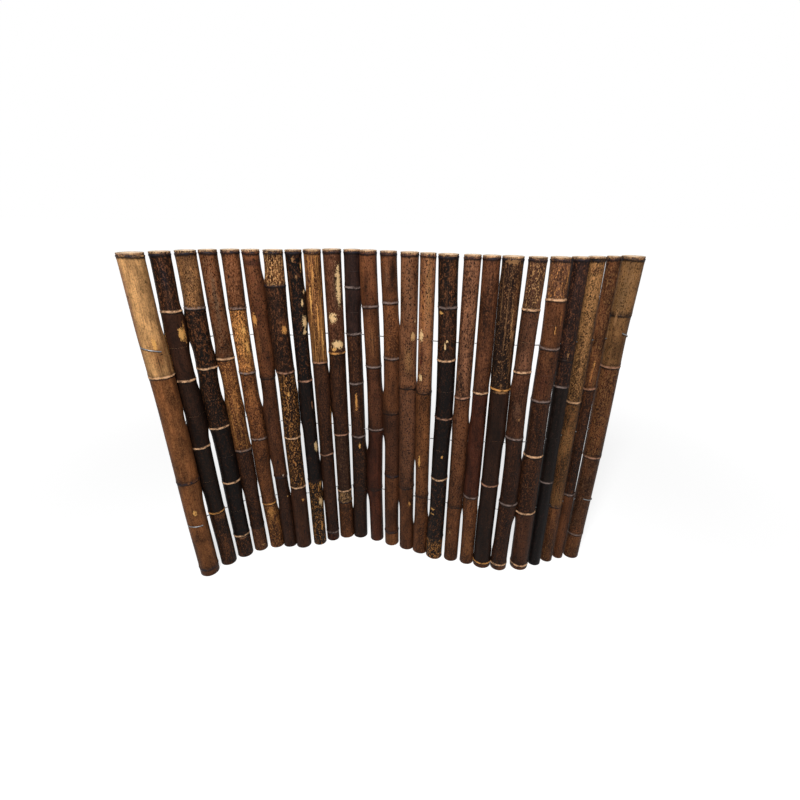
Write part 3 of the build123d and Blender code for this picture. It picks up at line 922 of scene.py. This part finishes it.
def steelMaterial():
    n = Nodes("galvanised wire")
    place = n.add("NewGeometry").outputs["Position"]
    spangle = n.noise(place, steel["spangle"], 4.0, 0.6)
    colour = n.mix(spangle, *steel["colours"])
    rough = n.step(spangle, 0.2, 0.8, steel["roughness"] - 0.1, steel["roughness"] + 0.15)
    bump = n.add("Bump", {"Height": spangle, "Strength": 0.3, "Distance": steel["bump"]})
    shader = n.add("BsdfPrincipled", {"Base Color": colour, "Metallic": steel["metallic"],
                                      "Roughness": rough, "Normal": bump.outputs[0]})
    return n.finished(shader)


poles = [Pole(index, looks) for index, looks in enumerate(poleLooks)]
for pole, neighbour in zip(poles, poles[1:]):
    swellToTouch(pole, neighbour)
print("poles read from the frame:", len(poles))

wireMaterial = steelMaterial()
lines = []
for name in wires["heights"]:
    wire, line = makeWire(name, poles)
    lines.append(line)
    wire.data.materials.append(wireMaterial)
    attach(wire, "root")
    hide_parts(name)
print("wires made")

for pole in poles:
    piece = makePole(pole)
    drillPole(piece, pole, lines)
    paintPole(piece, pole)
    piece.data.materials.clear()
    piece.data.materials.append(skinMaterial("skin of " + pole.name))
    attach(piece, "root")
    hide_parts(pole.name)
faceCount = sum(len(bpy.data.objects["bamboo_" + pole.name].data.polygons) for pole in poles)
print("poles made:", faceCount, "faces")

studio = {
    "floor": (0.4, 0.4, 0.4, 1),
    "floorSize": 30.0,      # m from the middle to each side
    "glow": (0.76, 1.0),    # what the floor adds for the camera, near the poles and far from them
    "glowReach": (0.6, 1.9),        # m from the middle
    "sky": 0.1,             # strength of the even light from all sides
    # place and target in m, width in m and power in watts
    "key": ((-0.1, -1.05, 1.6), (0, 0, 0.4), 0.45, 30.0),
    "fill": ((2.0, -1.8, 1.4), (0, 0, 0.3), 1.6, 3.0),
}


def makeFloor():
    size = studio["floorSize"]
    corners = [(-size, -size, 0), (size, -size, 0), (size, size, 0), (-size, size, 0)]
    floor = newPiece("floor", corners, [(0, 1, 2, 3)])
    n = Nodes("floor paint")
    paint = n.add("BsdfDiffuse", {"Color": studio["floor"]})
    # the floor's own white, for the camera, reflections and glass only, so that it lights nothing else
    place = n.add("NewGeometry").outputs["Position"]
    away = n.add("VectorMath", {0: place}, operation="LENGTH").outputs["Value"]
    glow = n.step(away, *studio["glowReach"], *studio["glow"])
    path = n.add("LightPath")
    seen = n.math("MAXIMUM", path.outputs["Is Camera Ray"], path.outputs["Is Glossy Ray"])
    seen = n.math("MAXIMUM", seen, path.outputs["Is Transmission Ray"])
    white = n.add("Emission", {"Strength": n.math("MULTIPLY", glow, seen)})
    both = n.add("AddShader", {0: paint.outputs[0], 1: white.outputs[0]})
    floor.data.materials.append(n.finished(both))


def makeLight(name):
    place, target, size, power = studio[name]
    data = bpy.data.lights.new(name, "AREA")
    data.shape = "DISK"
    data.size = size
    data.energy = power
    light = bpy.data.objects.new(name, data)
    bpy.context.collection.objects.link(light)
    light.location = place
    light.rotation_euler = (Vector(target) - Vector(place)).to_track_quat("-Z", "Y").to_euler()


def makeWorld():
    # white for the camera, an even dim light for everything else
    world = bpy.data.worlds.new("studio")
    bpy.context.scene.world = world
    world.use_nodes = True
    tree = world.node_tree
    tree.nodes.clear()
    output = tree.nodes.new("ShaderNodeOutputWorld")
    even = tree.nodes.new("ShaderNodeBackground")
    even.inputs["Strength"].default_value = studio["sky"]
    backdrop = tree.nodes.new("ShaderNodeBackground")
    backdrop.inputs["Color"].default_value = (1, 1, 1, 1)
    path = tree.nodes.new("ShaderNodeLightPath")
    mix = tree.nodes.new("ShaderNodeMixShader")
    tree.links.new(path.outputs["Is Camera Ray"], mix.inputs["Fac"])
    tree.links.new(even.outputs[0], mix.inputs[1])
    tree.links.new(backdrop.outputs[0], mix.inputs[2])
    tree.links.new(mix.outputs[0], output.inputs["Surface"])


def makeCamera():
    data = bpy.data.cameras.new("camera")
    data.lens = camera["lens"]
    data.sensor_width = 36
    data.shift_x, data.shift_y = camera["shift"]
    data.clip_start = 0.01
    item = bpy.data.objects.new("camera", data)
    bpy.context.collection.objects.link(item)
    tilt = Matrix.Rotation(math.radians(90 - camera["pitch"]), 4, "X")
    roll = Matrix.Rotation(math.radians(camera["roll"]), 4, "Z")
    item.matrix_world = Matrix.Translation(camera["place"]) @ tilt @ roll
    bpy.context.scene.camera = item


makeFloor()
makeLight("key")
makeLight("fill")
makeWorld()
makeCamera()
bpy.context.scene.view_settings.view_transform = "Standard"
print("floor, lights and camera set")
